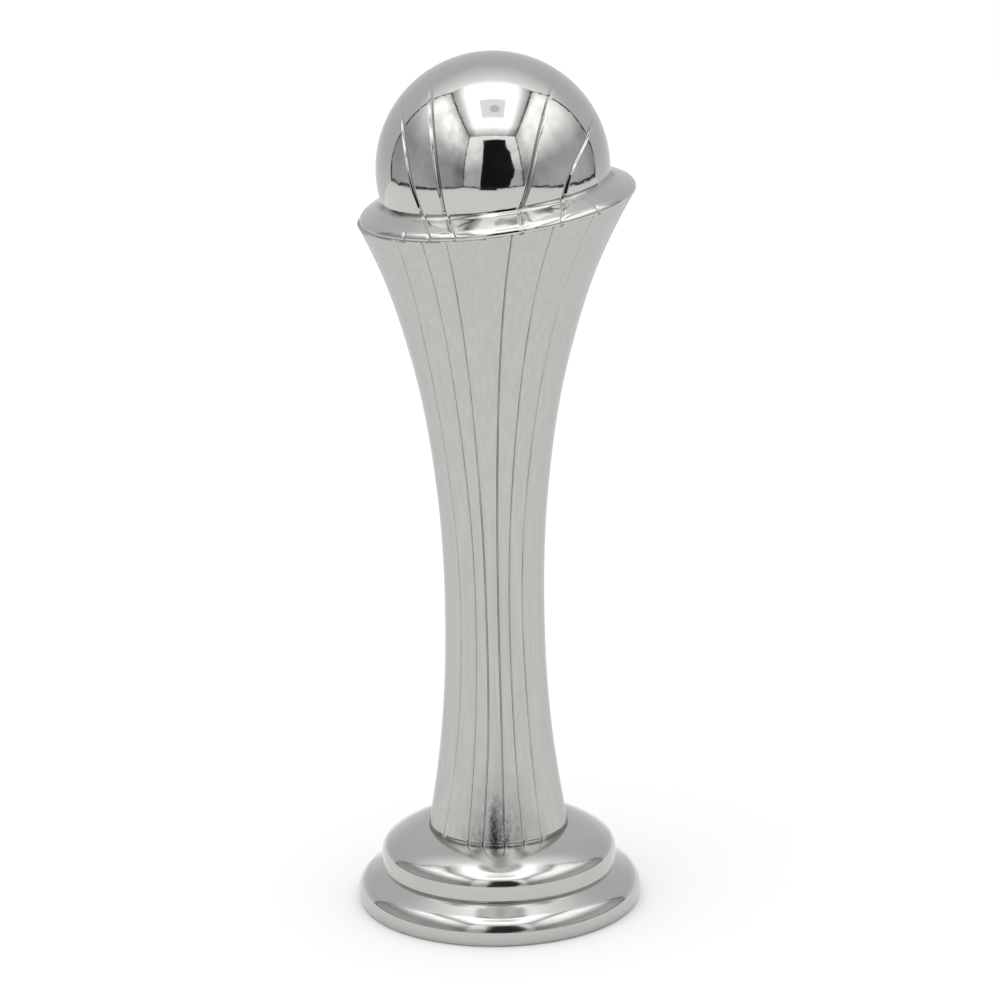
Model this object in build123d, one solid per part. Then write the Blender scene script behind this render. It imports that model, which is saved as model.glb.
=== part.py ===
"""Column trophy: a grooved ball on a slanted collar, a waisted column and a two-tier base.

A threaded rod runs up the hollow column from a nut under the base to an insert in the
ball, and clamps the castings together. Millimetres, +Z up. The origin is on the column's
axis, at the underside of the felt pad. The ball and collar lean towards -X, so the rim is
high on +X. The front faces -Y.
"""
from build123d import *
from math import atan2, cos, radians, sin, sqrt, tan
import os

# ---- base -------------------------------------------------------------------------------
base_radius = 16.4
base_bottom = 0.1             # the felt stands this far proud of the metal
base_bottom_inset = 0.3       # how far the foot of the side draws in
lower_side_height = 1.37      # where the lower tier is widest
lower_roll = 2.17             # radius of the lower tier's rounded edge
tread_slope = 27.0            # degrees, where that edge meets the tread
tier_step = 2.81              # the upper tier is this much smaller in radius
crease_inset = 0.35
crease_height = 4.33
crease_corner = 0.3           # height of the upper tier's rounded bottom corner
upper_side_height = 5.93      # top of the upper tier's upright side
upper_roll = 1.86             # radius of the upper tier's rounded edge
dome_slope = 38.0             # degrees, where that edge meets the dome
base_height = 9.15            # the flat that the column stands on
foot_margin = 0.2             # flat left round the column's foot
lower_wall = 2.0
upper_wall = 1.6
lower_roof = 1.9              # metal over the lower hollow, at the crease
base_roof = 1.8               # metal over the upper hollow
hollow_fillet = 2.6
foot_spigot_height = 1.5

# ---- column -----------------------------------------------------------------------------
column_height = 73.5          # foot to mouth, on the axis
foot_radius = 8.1
waist_radius = 5.72
column_wall = 1.3
foot_wall = 2.5               # wall of the ring inside the foot
foot_ring_height = 2.2
mouth_ring_height = 3.0       # solid ring inside the mouth, which seats the collar
waist_at = 0.354              # share of the column's height
foot_blend = (0.15, 0.31)     # share of height, share of the way from waist to foot radius
flare = ((0.557, 0.064), (0.76, 0.294), (0.923, 0.649))   # the same, from waist to mouth
mouth_overrun = 1.0265        # the outline runs on past the slanted cut

# ---- ball and collar --------------------------------------------------------------------
ball_radius = 13.13
ball_wall = 1.4
ball_offset = 0.68            # the ball's centre stands this far towards +X
head_lean = 6.67              # degrees that ball and collar lean towards -X
seat_drop = 2.1               # ball centre down to the ledge, along the leaning axis
ledge_slope = 27.5            # degrees, down and outwards
ledge_width = 2.1
shoulder_round = 1.3          # the ledge rolls over at this radius
shoulder_slope = 60.0         # degrees, where the lip's nose begins
lip_round = 0.45              # radius of the nose
nose_share = 0.55             # the joint lies this share of the nose's radius below its middle
lip_overhang = 0.12           # how far the lip stands out past the column on the high side
register_height = 1.5         # ring on the collar that enters the ball
register_wall = 1.04
spigot_inset = 3.3            # lip's nose to the ring on the collar that enters the column
spigot_depth = 2.0
boss_radius = 4.0
boss_bottom = 1.2             # above the ball's centre

# ---- fastening --------------------------------------------------------------------------
rod_radius = 1.5              # M3
rod_play = 0.2                # the rod's holes are this much wider all round
rod_chamfer = 0.3
insert_wall = 1.0
insert_length = 6.0
rod_engagement = 5.0
nut_flats = 5.5
nut_height = 2.4
nut_chamfer = (0.3, 0.5)      # down the side and in over the face
washer_radius = 3.5
washer_thickness = 0.5
spring_washer_radius = 3.1
spring_washer_thickness = 0.8
spring_washer_gap = 0.5
spring_washer_slant = 30.0    # degrees, of the split
nut_pocket_play = 0.7         # round the washer
nut_pocket_spare = 0.2        # under the rod's tail
rod_tail = 0.1                # rod left past the nut
ball_pin_radius = 0.4
collar_pin_radius = 0.6
pin_length = 2.4
pin_azimuth = 90.0            # both pins sit at the back

# ---- felt and fits ----------------------------------------------------------------------
felt_thickness = 0.9
felt_margin = 1.5             # base radius to felt recess
clearance = 0.1

# ---- grooves ----------------------------------------------------------------------------
groove_width = 0.62
groove_depth = 0.22
notch_width = 0.45            # where a groove crosses the ledge and lip
notch_depth = 0.16
notch_overrun = 0.3           # the cut runs on past the lip
# Four grooves run over the ball from the front ledge to the back one. These are their sideways
# places, as shares of the ball's radius, at these turns up from the front; the back mirrors it.
groove_angles = (-14, 0, 32, 90)
groove_shares = (
    (-0.610, -0.670, -0.735, -0.748),
    (-0.410, -0.442, -0.498, -0.510),
    (0.195, 0.270, 0.400, 0.600),
    (0.560, 0.606, 0.775, 0.880),
)
notch_azimuths = (-29.2, -18.0, 9.7, 26.8)    # where each groove leaves the lip, from the front

# ---- places worked out from the sizes ----------------------------------------------------
lean = radians(head_lean)
upper_radius = base_radius - tier_step
crease_radius = upper_radius - crease_inset
seat_radius = sqrt(ball_radius**2 - seat_drop**2)
ledge_angle, shoulder_angle = radians(ledge_slope), radians(shoulder_slope)
shoulder_top = (seat_radius + ledge_width, -seat_drop - ledge_width * tan(ledge_angle))
shoulder_end = (shoulder_top[0] + shoulder_round * (sin(shoulder_angle) - sin(ledge_angle)),
                shoulder_top[1] - shoulder_round * (cos(ledge_angle) - cos(shoulder_angle)))
lip_radius = shoulder_end[0] - lip_round * sin(shoulder_angle)
lip_drop = lip_round * cos(shoulder_angle) - shoulder_end[1]
joint_drop = lip_drop + lip_round * nose_share
lip_reach = lip_radius + lip_round
mouth_height = base_height + column_height
ball_height = mouth_height + (joint_drop + ball_offset * sin(lean)) / cos(lean)
mouth_radius = ball_offset + joint_drop * sin(lean) + lip_reach * cos(lean) - lip_overhang
ball_centre = Vector(ball_offset, 0, ball_height)
head = Plane(origin=ball_centre, x_dir=(cos(lean), 0, sin(lean)), z_dir=(-sin(lean), 0, cos(lean)))
hollow_roof = base_height - base_roof
rod_bottom = felt_thickness + nut_pocket_spare
pocket_roof = rod_bottom + rod_tail + nut_height + spring_washer_thickness + washer_thickness
foot_bore_radius = foot_radius - foot_wall
rod_hole_radius = rod_radius + rod_play
insert_radius = rod_radius + insert_wall
nut_pocket_radius = washer_radius + nut_pocket_play
insert_bottom = ball_height + boss_bottom
rod_top = insert_bottom + rod_engagement
register_radius = sqrt((ball_radius - ball_wall)**2 - seat_drop**2) - clearance
spigot_bore_radius = register_radius - register_wall
spigot_radius = lip_radius - spigot_inset
past = 1.0                    # how far a cutting shape runs past what it cuts
sunk = 0.5                    # how far a joined shape is let into its neighbour


def spun(outline):
    """A solid of revolution about Z from a closed outline in the XZ plane."""
    return revolve(make_face(outline), Axis.Z)


def disc(radius, bottom, top):
    """An upright cylinder on the column's axis."""
    return Pos(0, 0, bottom) * Cylinder(radius, top - bottom,
                                        align=(Align.CENTER, Align.CENTER, Align.MIN))


def head_disc(radius, bottom, top):
    """A cylinder on the leaning axis, its heights measured from the ball's centre."""
    return head * Pos(0, 0, bottom) * Cylinder(radius, top - bottom,
                                               align=(Align.CENTER, Align.CENTER, Align.MIN))


def above_plane(drop):
    """A block that holds everything above the leaning plane at this drop."""
    size = 4 * (base_radius + lip_reach)
    return head * Pos(0, 0, -drop) * Box(size, size, size,
                                         align=(Align.CENTER, Align.CENTER, Align.MIN))


def outline_stations():
    """Height and radius of the column's outside at the points that shape it."""
    foot_rise = foot_radius - waist_radius
    mouth_rise = mouth_radius - waist_radius
    stations = [(0, foot_radius), (foot_blend[0], waist_radius + foot_blend[1] * foot_rise),
                (waist_at, waist_radius)]
    stations += [(share, waist_radius + rise * mouth_rise) for share, rise in flare]
    stations.append((mouth_overrun, mouth_radius))
    return [(base_height + share * column_height, radius) for share, radius in stations]


def column_body(wall):
    """The column's outside as a solid, drawn in by a wall thickness."""
    stations = [(radius - wall, 0, height) for height, radius in outline_stations()]
    side = Spline(*stations)
    top = stations[-1][2]
    rest = Polyline((stations[-1][0], 0, top), (0, 0, top), (0, 0, base_height),
                    (stations[0][0], 0, base_height))
    return spun([side, rest])


def wire_radius(width, depth):
    """The round wire that cuts a groove this wide and deep."""
    return (width**2 / 4 + depth**2) / (2 * depth)


def groove_points(shares):
    """The middle of the engraving wire over the ball, from the front ledge to the back one."""
    reach = ball_radius + wire_radius(groove_width, groove_depth) - groove_depth
    front = list(zip(groove_angles, shares))
    back = [(180 - angle, share) for angle, share in reversed(front[:-1])]
    points = []
    for angle, share in front + back:
        side = share * reach
        out = sqrt(reach**2 - side**2)
        turn = radians(angle)
        points.append(ball_centre + Vector(side, -out * cos(turn), out * sin(turn)))
    return points


def groove_cutter(shares):
    """The engraving wire of one ball groove."""
    path = Spline(*groove_points(shares))
    wire = Circle(wire_radius(groove_width, groove_depth))
    return sweep(Plane(origin=path @ 0, z_dir=path % 0) * wire, path)


def notch_points(shares, azimuth, side):
    """The middle of the wire over ledge, shoulder and lip; side 1 is in front."""
    lift = wire_radius(notch_width, notch_depth) - notch_depth
    groove_end = head.to_local_coords(groove_points(shares)[0 if side == 1 else -1])
    first, last = atan2(groove_end.X, -side * groove_end.Y), radians(azimuth)
    section = [(spot[0] + lift * sin(angle), spot[1] + lift * cos(angle)) for spot, angle in
               (((seat_radius, -seat_drop), ledge_angle), (shoulder_top, ledge_angle),
                (shoulder_end, shoulder_angle), ((lip_reach, -lip_drop), radians(90)))]
    section.append((lip_reach + lift, -joint_drop - notch_overrun))
    points = []
    for radius, height in section:
        angle = first + (last - first) * (radius - seat_radius) / (lip_reach - seat_radius)
        spot = Vector(radius * sin(angle), -side * radius * cos(angle), height)
        points.append(head.from_local_coords(spot))
    return points


def notch_cutter(shares, azimuth, side):
    """The engraving wire of one nick, from a groove's end out over the lip."""
    path = Spline(*notch_points(shares, azimuth, side))
    wire = Circle(wire_radius(notch_width, notch_depth))
    return sweep(Plane(origin=path @ 0, z_dir=path % 0) * wire, path)


def base_outline():
    """The base's outside in the XZ plane, from its bottom edge to the flat on top."""
    bottom = (base_radius - base_bottom_inset, 0, base_bottom)
    edge = TangentArc((base_radius, 0, lower_side_height), bottom, tangent=(0, 0, -1))
    lower = Plane.XZ * CenterArc((base_radius - lower_roll, lower_side_height), lower_roll,
                                 0, 90 - tread_slope)
    slope = radians(tread_slope)
    tread = TangentArc(lower @ 1, (crease_radius, 0, crease_height),
                       tangent=(-cos(slope), 0, sin(slope)))
    corner_top = crease_height + crease_corner
    corner = TangentArc((upper_radius, 0, corner_top), (crease_radius, 0, crease_height),
                        tangent=(0, 0, -1))
    side = Line((upper_radius, 0, corner_top), (upper_radius, 0, upper_side_height))
    upper = Plane.XZ * CenterArc((upper_radius - upper_roll, upper_side_height), upper_roll,
                                 0, 90 - dome_slope)
    slope = radians(dome_slope)
    dome = TangentArc(upper @ 1, (foot_radius + foot_margin, 0, base_height),
                      tangent=(-cos(slope), 0, sin(slope)))
    rest = Polyline((foot_radius + foot_margin, 0, base_height), (0, 0, base_height),
                    (0, 0, base_bottom), bottom)
    return [edge, lower, tread, corner, side, upper, dome, rest]


def base_shell():
    shell = spun(base_outline())
    spigot = disc(foot_bore_radius - clearance, base_height - sunk, base_height + foot_spigot_height)
    hollow = disc(upper_radius - upper_wall, felt_thickness, hollow_roof)
    hollow = fillet(hollow.edges().group_by(Axis.Z)[-1], hollow_fillet)
    hollow += disc(base_radius - lower_wall, felt_thickness, crease_height - lower_roof)
    recess = disc(base_radius - felt_margin, base_bottom - past, felt_thickness)
    shell = shell + spigot - hollow - recess
    return shell - disc(rod_hole_radius, 0, base_height + foot_spigot_height + past)


def base_weight():
    upper = disc(upper_radius - upper_wall - clearance, felt_thickness, hollow_roof)
    upper = fillet(upper.edges().group_by(Axis.Z)[-1], hollow_fillet + clearance)
    lower = disc(base_radius - lower_wall - clearance, felt_thickness,
                 crease_height - lower_roof - clearance)
    pocket = disc(nut_pocket_radius, felt_thickness - past, pocket_roof)
    return upper + lower - pocket - disc(rod_hole_radius, 0, base_height)


def felt_pad():
    return disc(base_radius - felt_margin - clearance, 0, felt_thickness)


def column_shell():
    inside = column_body(column_wall) - above_plane(joint_drop + mouth_ring_height)
    inside -= disc(mouth_radius, 0, base_height + foot_ring_height)
    shell = column_body(0) - above_plane(joint_drop) - inside
    shell -= disc(foot_bore_radius, 0, base_height + foot_ring_height + past)
    shell -= head_disc(spigot_radius + clearance, -joint_drop - mouth_ring_height - past, 0)
    return shell - pin(collar_pin_radius, collar_pin_place(), -joint_drop)


def ball_pin_place():
    return (register_radius + clearance + seat_radius) / 2


def collar_pin_place():
    return (spigot_radius + clearance + lip_radius) / 2


def pin(radius, place, level):
    """A dowel along the leaning axis, its middle at this level from the ball's centre."""
    angle = radians(pin_azimuth)
    spot = Pos(place * cos(angle), place * sin(angle), level)
    return head * spot * Cylinder(radius, pin_length)


def collar_ring():
    """Ledge and lip, with a register ring for the ball above and a spigot below."""
    lip_tip = (lip_reach, -lip_drop)
    lip_foot = (lip_radius + lip_round * sqrt(1 - nose_share**2), -joint_drop)
    outline = [
        Line((seat_radius, -seat_drop), shoulder_top),
        TangentArc(shoulder_top, shoulder_end, tangent=(cos(ledge_angle), -sin(ledge_angle))),
        ThreePointArc(shoulder_end, lip_tip, lip_foot),
        Polyline(lip_foot, (spigot_radius, -joint_drop), (spigot_radius, -joint_drop - spigot_depth),
                 (spigot_bore_radius, -joint_drop - spigot_depth),
                 (spigot_bore_radius, register_height - seat_drop),
                 (register_radius, register_height - seat_drop), (register_radius, -seat_drop),
                 (seat_radius, -seat_drop)),
    ]
    upright = Plane(origin=head.origin, x_dir=head.x_dir, z_dir=-head.y_dir)
    face = make_face([upright * edge for edge in outline])
    ring = revolve(face, Axis(head.origin, head.z_dir))
    ring -= pin(ball_pin_radius, ball_pin_place(), -seat_drop)
    ring -= pin(collar_pin_radius, collar_pin_place(), -joint_drop)
    for side in (1, -1):
        for shares, azimuth in zip(groove_shares, notch_azimuths):
            ring -= notch_cutter(shares, azimuth, side)
    return ring


def ball_shell():
    """A hollow dome open at the ledge, with a boss inside for the threaded insert."""
    outer = Pos(*ball_centre) * Sphere(ball_radius)
    inner = Pos(*ball_centre) * Sphere(ball_radius - ball_wall)
    boss = disc(boss_radius, insert_bottom, ball_height + ball_radius) & outer
    shell = outer - inner + boss
    shell &= above_plane(seat_drop)
    shell -= disc(insert_radius, insert_bottom - past, insert_bottom + insert_length)
    shell -= pin(ball_pin_radius, ball_pin_place(), -seat_drop)
    for shares in groove_shares:
        shell -= groove_cutter(shares)
    return shell


def ball_thread_insert():
    return (disc(insert_radius, insert_bottom, insert_bottom + insert_length)
            - disc(rod_radius, insert_bottom - past, insert_bottom + insert_length + past))


def tie_rod():
    rod = disc(rod_radius, rod_bottom, rod_top)
    return chamfer(rod.edges(), rod_chamfer)


def clamp_washer():
    top = pocket_roof
    ring = disc(washer_radius, top - washer_thickness, top)
    return ring - disc(rod_hole_radius, 0, base_height)


def spring_washer():
    """A split ring, shown flattened as it is when the nut is tight."""
    top = pocket_roof - washer_thickness
    ring = disc(spring_washer_radius, top - spring_washer_thickness, top)
    ring -= disc(rod_hole_radius, 0, base_height)
    slot = Pos(spring_washer_radius, 0, top) * Rot(spring_washer_slant, 0, 0) * Box(
        2 * spring_washer_radius, spring_washer_gap, 4 * spring_washer_thickness)
    return ring - slot


def clamp_nut():
    top = pocket_roof - washer_thickness - spring_washer_thickness
    bottom = top - nut_height
    corner = nut_flats / 2 / cos(radians(30))
    blank = Pos(0, 0, bottom) * extrude(RegularPolygon(corner, 6), nut_height)
    rounding = disc(corner, bottom, top)
    rounding = chamfer(rounding.edges(), *nut_chamfer)
    return (blank & rounding) - disc(rod_radius, 0, base_height)


parts = {
    "ball_shell": ball_shell(),
    "ball_thread_insert": ball_thread_insert(),
    "ball_register_pin": pin(ball_pin_radius, ball_pin_place(), -seat_drop),
    "collar_ring": collar_ring(),
    "collar_register_pin": pin(collar_pin_radius, collar_pin_place(), -joint_drop),
    "column_shell": column_shell(),
    "base_shell": base_shell(),
    "base_weight": base_weight(),
    "tie_rod": tie_rod(),
    "clamp_washer": clamp_washer(),
    "spring_washer": spring_washer(),
    "clamp_nut": clamp_nut(),
    "felt_pad": felt_pad(),
}

os.makedirs("parts", exist_ok=True)
for name, shape in parts.items():
    export_step(shape, f"parts/{name}.step")
print("height", round(ball_height + ball_radius, 2), "lip", round(lip_reach, 2),
      "mouth", round(mouth_radius, 2))
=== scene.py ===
# %% [markdown]
# # A column trophy, seen in a light tent
#
# The real object is a small plated award, about as tall as a hand is wide: a polished ball
# with four grooves, a slanted polished collar, a slender hollow column with engraved lines,
# and a polished base in two steps. This lesson builds the four metal castings again as fine
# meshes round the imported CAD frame, because a mirror shows every flat spot of a coarse mesh.
#
# Polished metal has almost no colour of its own. What the eye reads as chrome is the room in
# it, so half of the work below is the small white tent that the metal mirrors.

# %% Load the frame
from math import asin, atan2, cos, degrees, hypot, pi, radians, sin, sqrt

import bmesh
import bpy
from mathutils import Matrix, Vector, noise


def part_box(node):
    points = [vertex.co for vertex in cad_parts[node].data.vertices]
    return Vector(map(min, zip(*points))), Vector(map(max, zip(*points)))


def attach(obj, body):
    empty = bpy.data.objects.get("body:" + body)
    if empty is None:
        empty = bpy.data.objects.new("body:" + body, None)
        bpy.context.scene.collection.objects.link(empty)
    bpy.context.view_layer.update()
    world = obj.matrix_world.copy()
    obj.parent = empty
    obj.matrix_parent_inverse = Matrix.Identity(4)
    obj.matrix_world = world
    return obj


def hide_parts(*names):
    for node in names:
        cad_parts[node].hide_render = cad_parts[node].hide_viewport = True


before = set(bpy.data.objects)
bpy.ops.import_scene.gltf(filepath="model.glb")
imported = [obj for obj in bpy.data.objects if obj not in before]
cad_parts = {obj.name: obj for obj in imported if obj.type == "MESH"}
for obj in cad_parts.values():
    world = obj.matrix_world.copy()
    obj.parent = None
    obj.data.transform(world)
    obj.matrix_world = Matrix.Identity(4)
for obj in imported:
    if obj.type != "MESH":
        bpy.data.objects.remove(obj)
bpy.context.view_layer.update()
MM = 0.001

# %% [markdown]
# ## Sizes
#
# A designer would model in millimetres, so the meshes are built in millimetres and scaled to
# metres at the end. The overall sizes are read from the CAD boxes. The smaller ones, such as
# the roll of an edge, are the same design values that the CAD solids were made with.

# %% Sizes read from the frame
def box_mm(node):
    """A CAD node's lowest and highest corner in millimetres."""
    low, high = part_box(node)
    return Vector(low) / MM, Vector(high) / MM


base_low, base_high = box_mm("base_shell")
ball_high = box_mm("ball_shell")[1]
felt_low, felt_high = box_mm("felt_pad")
BASE_RADIUS = (base_high.y - base_low.y) / 2
BASE_BOTTOM = base_low.z
BALL_RADIUS = 13.13
BALL_OFFSET = 0.68
BALL_CENTRE = Vector((BALL_OFFSET, 0.0, ball_high.z - BALL_RADIUS))
print("base radius", round(BASE_RADIUS, 2), "ball centre", [round(v, 2) for v in BALL_CENTRE])

# %% [markdown]
# ## The camera
#
# A long lens looks at this small object from about half a metre away, down a
# little. The camera is made first, because everything later is judged through it. It is
# turned by given angles, and a slight roll lets the column lean as it does in the tent.

# %% Camera
CAMERA_DISTANCE = 0.525
CAMERA_HEIGHT = 0.2062
CAMERA_PITCH = radians(16.746)
CAMERA_YAW = radians(0.09)
CAMERA_ROLL = radians(-1.0)
SENSOR_WIDTH = 36.0
LENS = 173.1


def make_camera():
    """A camera with a long lens, in front of the trophy and a little above it."""
    data = bpy.data.cameras.new("camera")
    data.sensor_width = SENSOR_WIDTH
    data.lens = LENS
    data.clip_start = 0.01
    camera = bpy.data.objects.new("camera", data)
    camera.matrix_world = (
        Matrix.Translation((0.0, -CAMERA_DISTANCE, CAMERA_HEIGHT))
        @ Matrix.Rotation(-CAMERA_YAW, 4, "Z")
        @ Matrix.Rotation(pi / 2 - CAMERA_PITCH, 4, "X")
        @ Matrix.Rotation(CAMERA_ROLL, 4, "Z")
    )
    bpy.context.collection.objects.link(camera)
    bpy.context.scene.camera = camera
    return camera


camera = make_camera()
print("camera at", [round(v, 3) for v in camera.matrix_world.translation], "lens", LENS, "mm")

# %% [markdown]
# ## The tent
#
# The tent is a box of white cloth about 80 cm each way, with a dark slit in front for the
# camera and a bright roof under the lamps. Only mirrors see it here: the walls are switched
# off for the camera and for soft light, so the object stands on a plain pale floor in every
# view, while the metal still shows walls, seams, roof and slit.

# %% Tent materials
TENT_HALF_WIDTH = 0.385
TENT_FRONT = -0.70
TENT_BACK = 0.20
TENT_ROOF = 0.79
SEAM = 0.013
FLOOR_SEAM = 0.0065


def new_material(name):
    """An empty node material, its nodes and links, and its output."""
    material = bpy.data.materials.new(name)
    material.use_nodes = True
    nodes, links = material.node_tree.nodes, material.node_tree.links
    nodes.clear()
    output = nodes.new("ShaderNodeOutputMaterial")
    return material, nodes, links, output


def ramp(nodes, links, source, stops):
    """A grey colour ramp on a value, from (place, brightness) stops."""
    node = nodes.new("ShaderNodeValToRGB")
    elements = node.color_ramp.elements
    while len(elements) > 1:
        elements.remove(elements[-1])
    for index, (place, grey) in enumerate(stops):
        element = elements[0] if index == 0 else elements.new(place)
        element.position = place
        element.color = (grey, grey, grey, 1.0)
    links.new(source, node.inputs["Fac"])
    return node.outputs["Color"]


def run_along(nodes, links, split, axis, low, high):
    """A value that runs from 0 to 1 along one axis."""
    run = nodes.new("ShaderNodeMapRange")
    run.inputs["From Min"].default_value = low
    run.inputs["From Max"].default_value = high
    links.new(split.outputs[axis], run.inputs["Value"])
    return run.outputs["Result"]


def times(nodes, links, first, second):
    """Two shades multiplied."""
    mix = nodes.new("ShaderNodeMix")
    mix.data_type = "RGBA"
    mix.blend_type = "MULTIPLY"
    mix.inputs["Factor"].default_value = 1.0
    links.new(first, mix.inputs["A"])
    links.new(second, mix.inputs["B"])
    return mix.outputs["Result"]


trial = new_material("trial")[0]
print("an empty material has", len(trial.node_tree.nodes), "node, its output")
bpy.data.materials.remove(trial)

# %% [markdown]
# ### Cloth that glows
#
# Lit tent cloth could be real cloth with lamps behind it, but that is slow and noisy. Here each
# panel glows by itself. Ramps along two axes darken it towards its edges, as cloth further
# from the lamps is darker, and a soft noise stands for its folds.

# %% Cloth and plain light
def cloth_light(name, strength, runs, mottle, scale=8.0):
    """Lit cloth: its brightness runs along two axes, with soft folds laid over it."""
    material, nodes, links, output = new_material(name)
    coords = nodes.new("ShaderNodeTexCoord")
    split = nodes.new("ShaderNodeSeparateXYZ")
    links.new(coords.outputs["Object"], split.inputs["Vector"])
    folds = nodes.new("ShaderNodeTexNoise")
    folds.inputs["Scale"].default_value = scale
    folds.inputs["Detail"].default_value = 3.0
    links.new(coords.outputs["Object"], folds.inputs["Vector"])
    soft = nodes.new("ShaderNodeMapRange")
    soft.inputs["From Min"].default_value = 0.3
    soft.inputs["From Max"].default_value = 0.7
    soft.inputs["To Min"].default_value = 1.0 - mottle
    soft.inputs["To Max"].default_value = 1.0 + mottle
    links.new(folds.outputs["Fac"], soft.inputs["Value"])
    shade = soft.outputs["Result"]
    for axis, low, high, stops in runs:
        along = run_along(nodes, links, split, axis, low, high)
        shade = times(nodes, links, shade, ramp(nodes, links, along, stops))
    glow = nodes.new("ShaderNodeEmission")
    glow.inputs["Strength"].default_value = strength
    links.new(shade, glow.inputs["Color"])
    links.new(glow.outputs["Emission"], output.inputs["Surface"])
    return material


def plain_light(name, grey):
    """A plain surface of one brightness."""
    material, nodes, links, output = new_material(name)
    glow = nodes.new("ShaderNodeEmission")
    glow.inputs["Color"].default_value = (grey, grey, grey, 1.0)
    glow.inputs["Strength"].default_value = 1.0
    links.new(glow.outputs["Emission"], output.inputs["Surface"])
    return material


tent_depth = TENT_BACK - TENT_FRONT
print("tent", 2 * TENT_HALF_WIDTH, "m wide", round(tent_depth, 2), "m deep", TENT_ROOF, "m high")

# %% [markdown]
# ### Panels, seams and slit
#
# A cloth panel is one face. A seam is two rows of stitches with cloth that never hangs quite
# straight, so it is an edge extruded a step at a time and shifted by noise at each step. A
# straight strip would look drawn with a ruler in the ball.

# %% Tent panels
LIFT = 0.003
SEAM_STEPS = 80
SEAM_WANDER = 0.009
SLIT_OUTLINE = ((-0.15, 0.0), (-0.155, 0.05), (-0.13, 0.30), (-0.125, 0.55), (-0.14, 0.675),
                (0.06, 0.69), (0.20, 0.68), (0.19, 0.60), (0.205, 0.52), (0.24, 0.47), (0.245, 0.36),
                (0.275, 0.22), (0.25, 0.13), (0.22, 0.10), (0.20, 0.03), (0.12, 0.0))


def stage_piece(name, bm, material):
    """A piece of the tent, seen by mirrors only."""
    mesh = bpy.data.meshes.new(name)
    bm.to_mesh(mesh)
    bm.free()
    mesh.materials.append(material)
    obj = bpy.data.objects.new(name, mesh)
    bpy.context.collection.objects.link(obj)
    obj.visible_camera = False
    obj.visible_diffuse = False
    obj.visible_transmission = False
    obj.visible_shadow = False
    return obj


def panel(name, corners, material):
    """One flat panel of the tent."""
    bm = bmesh.new()
    bmesh.ops.contextual_create(bm, geom=[bm.verts.new(corner) for corner in corners])
    return stage_piece(name, bm, material)


def wall(name, axis, place, low, high, material):
    """An upright or level rectangle at a place on one axis, low and high on the other two."""
    spots = [(low[0], low[1]), (high[0], low[1]), (high[0], high[1]), (low[0], high[1])]
    corners = [spot[:axis] + (place,) + spot[axis:] for spot in spots]
    return panel(name, corners, material)


def seam(name, start, end, across, material, half_width=SEAM):
    """A dark sewn edge between two panels: a narrow strip that wanders like cloth."""
    start, end, across = Vector(start), Vector(end), Vector(across)
    bm = bmesh.new()
    row = [bm.verts.new(start), bm.verts.new(start)]
    edge = bm.edges.new(row)
    for step in range(SEAM_STEPS + 1):
        if step > 0:
            grown = bmesh.ops.extrude_edge_only(bm, edges=[edge])["geom"]
            near = row[0].co.copy()
            row = [item for item in grown if isinstance(item, bmesh.types.BMVert)]
            row.sort(key=lambda vert: (vert.co - near).length)
            edge = bm.edges.get(row)
        place = start.lerp(end, step / SEAM_STEPS)
        wander = SEAM_WANDER * (noise.noise(place * 22.0) + 0.5 * noise.noise(place * 75.0))
        width = half_width * (1.0 + 0.8 * noise.noise(place * 40.0))
        row[0].co = place + across * (wander - width)
        row[1].co = place + across * (wander + width)
    return stage_piece(name, bm, material)


print("a seam has", SEAM_STEPS, "steps and wanders up to", SEAM_WANDER, "m")

# %% [markdown]
# ### Putting the tent up
#
# Each wall has its own brightness from the floor up, because the lamps stand outside, high on
# both sides. The slit is a flat dark outline just in front of the front wall, as ragged as
# pulled-open cloth, and a paler hatch with a lamp in it hangs under the roof.

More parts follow.
